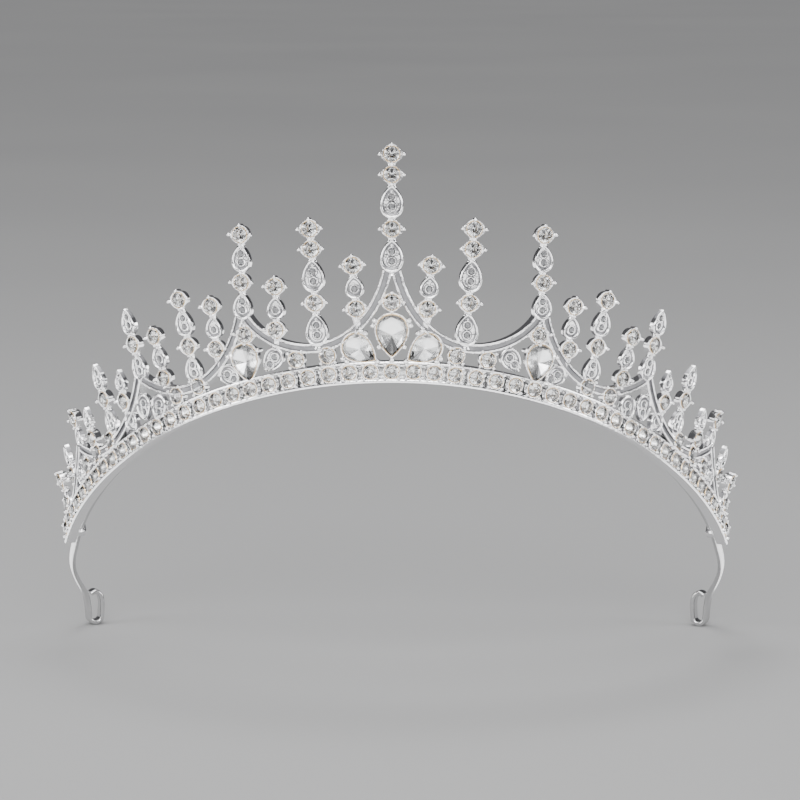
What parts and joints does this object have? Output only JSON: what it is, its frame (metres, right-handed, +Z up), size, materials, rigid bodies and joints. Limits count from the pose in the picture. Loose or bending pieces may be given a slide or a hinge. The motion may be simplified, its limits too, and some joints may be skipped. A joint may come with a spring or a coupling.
{
  "type": "bridal tiara",
  "caption": "C-shaped bridal tiara: a cast crest of stone-set spires and hanging arches on a flat headband strip with a hair-grip loop at each end.",
  "frame": {"origin": "centre of the head circle, level with the underside of the two end loops", "axes": "+Z up along the upright crest, -Y towards the stone-set front, +X towards the wearer's left"},
  "size_m": [0.148, 0.0787, 0.1134],
  "materials": {
    "headband_strip": "bright silver-plated flat wire, lightly brushed along its length",
    "end_clips": "bright rhodium-coloured plating over a cast alloy, polished",
    "lower_rim": "bright rhodium-coloured plating over a cast alloy, polished",
    "upper_rail": "bright rhodium-coloured plating over a cast alloy, polished",
    "base_settings": "bright rhodium-coloured plating over a cast alloy, polished",
    "gallery_settings": "bright rhodium-coloured plating over a cast alloy, polished",
    "centre_pear_settings": "bright rhodium-coloured plating over a cast alloy, polished",
    "shoulder_pear_settings": "bright rhodium-coloured plating over a cast alloy, polished",
    "peak_round_settings": "bright rhodium-coloured plating over a cast alloy, polished",
    "filler_frames": "bright rhodium-coloured plating over a cast alloy, polished",
    "spire_centre": "bright rhodium-coloured plating over a cast alloy, polished",
    "centre_arch_left": "bright rhodium-coloured plating over a cast alloy, polished",
    "centre_arch_right": "bright rhodium-coloured plating over a cast alloy, polished",
    "shoulder_arch_left": "bright rhodium-coloured plating over a cast alloy, polished",
    "shoulder_arch_right": "bright rhodium-coloured plating over a cast alloy, polished",
    "side_arch_left": "bright rhodium-coloured plating over a cast alloy, polished",
    "side_arch_right": "bright rhodium-coloured plating over a cast alloy, polished",
    "end_arch_left": "bright rhodium-coloured plating over a cast alloy, polished",
    "end_arch_right": "bright rhodium-coloured plating over a cast alloy, polished",
    "spire_left_1": "bright rhodium-coloured plating over a cast alloy, polished",
    "spire_left_2": "bright rhodium-coloured plating over a cast alloy, polished",
    "spire_left_3": "bright rhodium-coloured plating over a cast alloy, polished",
    "spire_left_4": "bright rhodium-coloured plating over a cast alloy, polished",
    "spire_left_5": "bright rhodium-coloured plating over a cast alloy, polished",
    "spire_left_6": "bright rhodium-coloured plating over a cast alloy, polished",
    "spire_left_7": "bright rhodium-coloured plating over a cast alloy, polished",
    "spire_left_8": "bright rhodium-coloured plating over a cast alloy, polished",
    "spire_left_9": "bright rhodium-coloured plating over a cast alloy, polished",
    "spire_left_10": "bright rhodium-coloured plating over a cast alloy, polished",
    "spire_left_11": "bright rhodium-coloured plating over a cast alloy, polished",
    "spire_left_12": "bright rhodium-coloured plating over a cast alloy, polished",
    "spire_left_13": "bright rhodium-coloured plating over a cast alloy, polished",
    "spire_left_14": "bright rhodium-coloured plating over a cast alloy, polished",
    "spire_right_1": "bright rhodium-coloured plating over a cast alloy, polished",
    "spire_right_2": "bright rhodium-coloured plating over a cast alloy, polished",
    "spire_right_4": "bright rhodium-coloured plating over a cast alloy, polished",
    "spire_right_5": "bright rhodium-coloured plating over a cast alloy, polished",
    "spire_right_6": "bright rhodium-coloured plating over a cast alloy, polished",
    "spire_right_7": "bright rhodium-coloured plating over a cast alloy, polished",
    "spire_right_8": "bright rhodium-coloured plating over a cast alloy, polished",
    "spire_right_9": "bright rhodium-coloured plating over a cast alloy, polished",
    "spire_right_10": "bright rhodium-coloured plating over a cast alloy, polished",
    "spire_right_11": "bright rhodium-coloured plating over a cast alloy, polished",
    "spire_right_12": "bright rhodium-coloured plating over a cast alloy, polished",
    "spire_right_13": "bright rhodium-coloured plating over a cast alloy, polished",
    "spire_right_14": "bright rhodium-coloured plating over a cast alloy, polished",
    "base_stones": "clear faceted crystal with a foil back",
    "gallery_stones": "clear faceted crystal with a foil back",
    "centre_pear_stones": "clear faceted crystal with a foil back",
    "shoulder_pear_stones": "clear faceted crystal with a foil back",
    "peak_round_stones": "clear faceted crystal with a foil back",
    "filler_stones": "clear faceted crystal with a foil back",
    "spire_round_stones": "clear faceted crystal with a foil back",
    "spire_pave_stones": "clear faceted crystal with a foil back"
  },
  "bodies": {
    "root": {"headband_strip": "headband_strip", "end_clips": "end_clips", "lower_rim": "lower_rim", "upper_rail": "upper_rail", "base_settings": "base_settings", "gallery_settings": "gallery_settings", "centre_pear_settings": "centre_pear_settings", "shoulder_pear_settings": "shoulder_pear_settings", "peak_round_settings": "peak_round_settings", "filler_frames": "filler_frames", "spire_centre": "spire_centre", "centre_arch_left": "centre_arch_left", "centre_arch_right": "centre_arch_right", "shoulder_arch_left": "shoulder_arch_left", "shoulder_arch_right": "shoulder_arch_right", "side_arch_left": "side_arch_left", "side_arch_right": "side_arch_right", "end_arch_left": "end_arch_left", "end_arch_right": "end_arch_right", "spire_left_1": "spire_left_1", "spire_left_2": "spire_left_2", "spire_left_3": "spire_left_3", "spire_left_4": "spire_left_4", "spire_left_5": "spire_left_5", "spire_left_6": "spire_left_6", "spire_left_7": "spire_left_7", "spire_left_8": "spire_left_8", "spire_left_9": "spire_left_9", "spire_left_10": "spire_left_10", "spire_left_11": "spire_left_11", "spire_left_12": "spire_left_12", "spire_left_13": "spire_left_13", "spire_left_14": "spire_left_14", "spire_right_1": "spire_right_1", "spire_right_2": "spire_right_2", "spire_right_4": "spire_right_4", "spire_right_5": "spire_right_5", "spire_right_6": "spire_right_6", "spire_right_7": "spire_right_7", "spire_right_8": "spire_right_8", "spire_right_9": "spire_right_9", "spire_right_10": "spire_right_10", "spire_right_11": "spire_right_11", "spire_right_12": "spire_right_12", "spire_right_13": "spire_right_13", "spire_right_14": "spire_right_14", "base_stones": "base_stones", "gallery_stones": "gallery_stones", "centre_pear_stones": "centre_pear_stones", "shoulder_pear_stones": "shoulder_pear_stones", "peak_round_stones": "peak_round_stones", "filler_stones": "filler_stones", "spire_round_stones": "spire_round_stones", "spire_pave_stones": "spire_pave_stones"}
  },
  "joints": []
}
